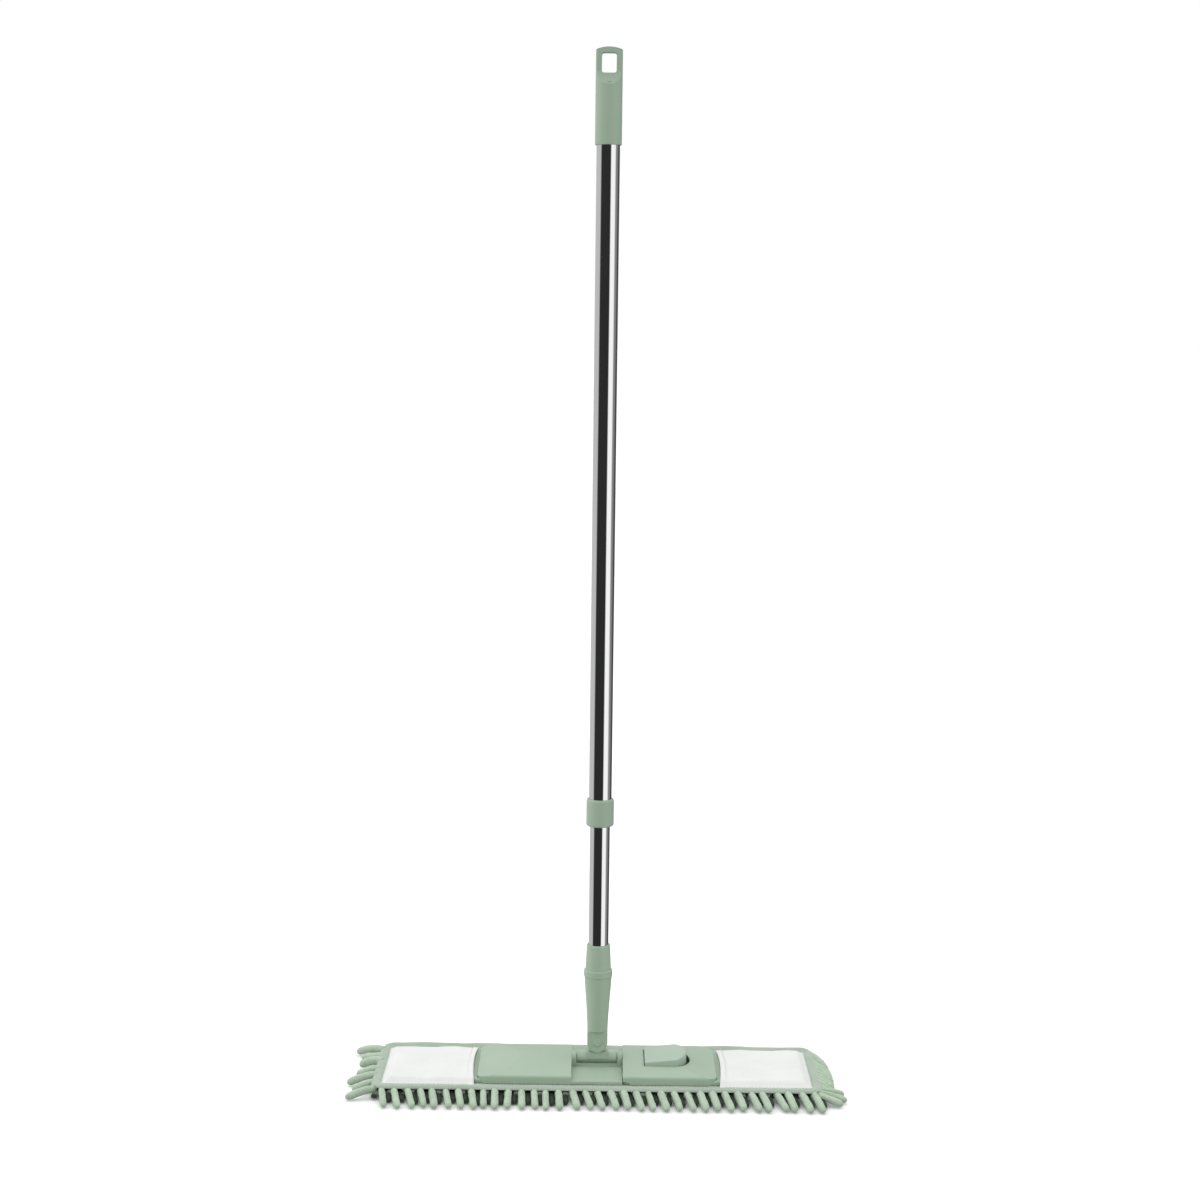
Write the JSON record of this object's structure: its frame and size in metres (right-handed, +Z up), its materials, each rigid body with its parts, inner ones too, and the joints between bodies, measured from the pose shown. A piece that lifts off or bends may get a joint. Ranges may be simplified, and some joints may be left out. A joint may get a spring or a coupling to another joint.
{
  "type": "flat mop",
  "caption": "Flat dust mop with a folding two-wing frame in a chenille pocket pad, a two-axis swivel and a telescopic pole with a hanging grip.",
  "frame": {"origin": "on the floor under the pole, at the middle of the pad's footprint", "axes": "+X along the head towards the folding wing with the pedal, +Y from front to back, +Z up the pole"},
  "size_m": [0.536, 0.2, 1.1326],
  "materials": {
    "frame_plastic": "satin",
    "pedal_plastic": "satin",
    "pole_plastic": "satin",
    "polished_tube": "polished",
    "pin_steel": "satin",
    "spring_steel": "bright",
    "lock_plastic": "matte",
    "chenille": "matte",
    "base_cloth": "matte",
    "binding_tape": "matte",
    "pocket_cloth": "matte"
  },
  "bodies": {
    "frame": {"frame_base": "frame_plastic", "left_cover": "frame_plastic", "swivel_axle": "pin_steel", "pad_pile_left": "chenille", "pad_cloth_left": "base_cloth", "pad_binding_left": "binding_tape", "pad_fringe_left": "chenille", "pad_fold_strip": "chenille", "pocket_left": "pocket_cloth"},
    "wing": {"wing_base": "frame_plastic", "right_cover": "frame_plastic", "hinge_pins": "pin_steel", "pedal_pin": "pin_steel", "pedal_spring": "spring_steel", "pad_pile_right": "chenille", "pad_cloth_right": "base_cloth", "pad_binding_right": "binding_tape", "pad_fringe_right": "chenille", "pocket_right": "pocket_cloth"},
    "lock_pedal": {"pedal": "pedal_plastic"},
    "swivel": {"knuckle": "frame_plastic"},
    "lower_pole": {"pole_socket": "pole_plastic", "fork_rivet": "pole_plastic", "ferrule": "pole_plastic", "lower_tube": "polished_tube", "lock_plug": "lock_plastic"},
    "collet": {"lock_collet": "lock_plastic"},
    "upper_pole": {"upper_tube": "polished_tube", "tube_collar": "pole_plastic", "grip": "pole_plastic"}
  },
  "joints": [
    {"name": "wing_fold", "type": "hinge", "parent": "frame", "child": "wing", "pos_m": [0.0323, 0, 0.0163], "axis": [0, 1, 0], "range_deg": [0, 90], "deforming": ["pad_fold_strip"]},
    {"name": "pedal_press", "type": "hinge", "parent": "wing", "child": "lock_pedal", "pos_m": [0.0605, 0, 0.018], "axis": [0, 1, 0], "range_deg": [0, 8], "stiffness_Nm_per_rad": 1.2, "springref_deg": -4.58, "deforming": ["pedal_spring"]},
    {"name": "pole_pitch", "type": "hinge", "parent": "frame", "child": "swivel", "pos_m": [0, 0, 0.026], "axis": [1, 0, 0], "range_deg": [-70, 70]},
    {"name": "pole_roll", "type": "hinge", "parent": "swivel", "child": "lower_pole", "pos_m": [0, 0, 0.045], "axis": [0, 1, 0], "range_deg": [-60, 60]},
    {"name": "lock_twist", "type": "hinge", "parent": "lower_pole", "child": "collet", "pos_m": [0, 0, 0.7346], "axis": [0, 0, 1], "range_deg": [0, 120]},
    {"name": "pole_extend", "type": "slide", "parent": "collet", "child": "upper_pole", "axis": [0, 0, 1], "range_m": [-0.13, 0.3]}
  ]
}
